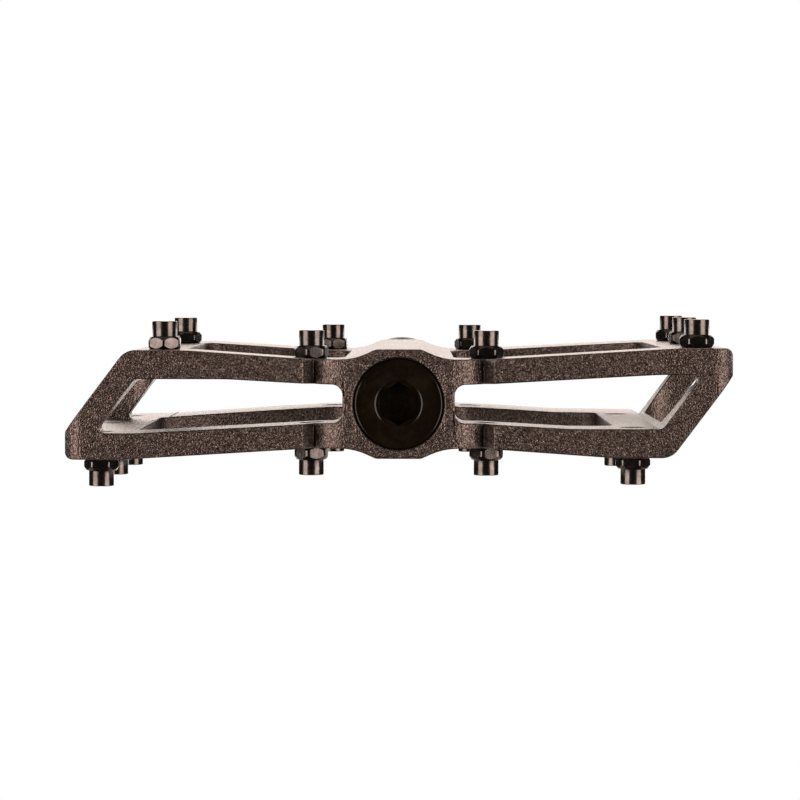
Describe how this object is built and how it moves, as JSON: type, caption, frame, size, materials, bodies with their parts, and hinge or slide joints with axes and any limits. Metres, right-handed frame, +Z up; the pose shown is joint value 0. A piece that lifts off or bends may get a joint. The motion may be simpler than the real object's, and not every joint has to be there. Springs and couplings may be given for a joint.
{
  "type": "flat pedal",
  "caption": "Right-hand flat bicycle pedal: a slotted, concave alloy platform with screw-in traction pins, turning freely on a steel spindle with a crank thread.",
  "frame": {"origin": "on the spindle axis, in the shoulder face that seats against the crank arm", "axes": "+Y along the spindle towards the crank arm, +X forward, +Z up"},
  "size_m": [0.1058, 0.1215, 0.0268],
  "materials": {
    "body_aluminium": "bead-blasted, dark bronze-black anodised",
    "cap_aluminium": "gloss black anodised",
    "pin_steel": "black oxide, polished",
    "spindle_steel": "black oxide, turned",
    "zinc_steel": "zinc plated",
    "bearing_steel": "ground",
    "shield_steel": "pressed sheet",
    "cage_brass": "satin",
    "bush_polymer": "matt",
    "seal_rubber": "moulded"
  },
  "bodies": {
    "spindle_assembly": {"spindle": "spindle_steel", "bearing_inner_race": "bearing_steel", "lock_washer": "zinc_steel", "lock_nut": "zinc_steel"},
    "platform": {"pedal_body": "body_aluminium", "end_cap": "cap_aluminium", "bearing_outer_race": "bearing_steel", "bearing_outboard_shield": "shield_steel", "bearing_inboard_shield": "shield_steel", "inboard_bush": "bush_polymer", "inboard_seal": "seal_rubber", "top_leading_pin_1": "pin_steel", "top_leading_pin_2": "pin_steel", "top_leading_pin_3": "pin_steel", "top_trailing_pin_1": "pin_steel", "top_trailing_pin_2": "pin_steel", "top_centre_pin_1": "pin_steel", "top_centre_pin_2": "pin_steel", "top_centre_pin_3": "pin_steel", "top_centre_pin_4": "pin_steel", "bottom_leading_pin_1": "pin_steel", "bottom_leading_pin_2": "pin_steel", "bottom_leading_pin_3": "pin_steel", "bottom_trailing_pin_1": "pin_steel", "bottom_trailing_pin_2": "pin_steel", "bottom_centre_pin_1": "pin_steel", "bottom_centre_pin_2": "pin_steel", "bottom_centre_pin_3": "pin_steel", "bottom_centre_pin_4": "pin_steel"},
    "ball_set": {"ball_cage": "cage_brass", "bearing_balls": "bearing_steel"}
  },
  "joints": [
    {"name": "platform_spin", "type": "hinge", "parent": "spindle_assembly", "child": "platform", "pos_m": [0, -0.057, 0], "axis": [0, 1, 0], "continuous": true},
    {"name": "ball_spin", "type": "hinge", "parent": "spindle_assembly", "child": "ball_set", "pos_m": [0, -0.0932, 0], "axis": [0, 1, 0], "continuous": true}
  ],
  "couplings": [
    {"joint": "ball_spin", "follows": "platform_spin", "ratio": 0.6042}
  ]
}
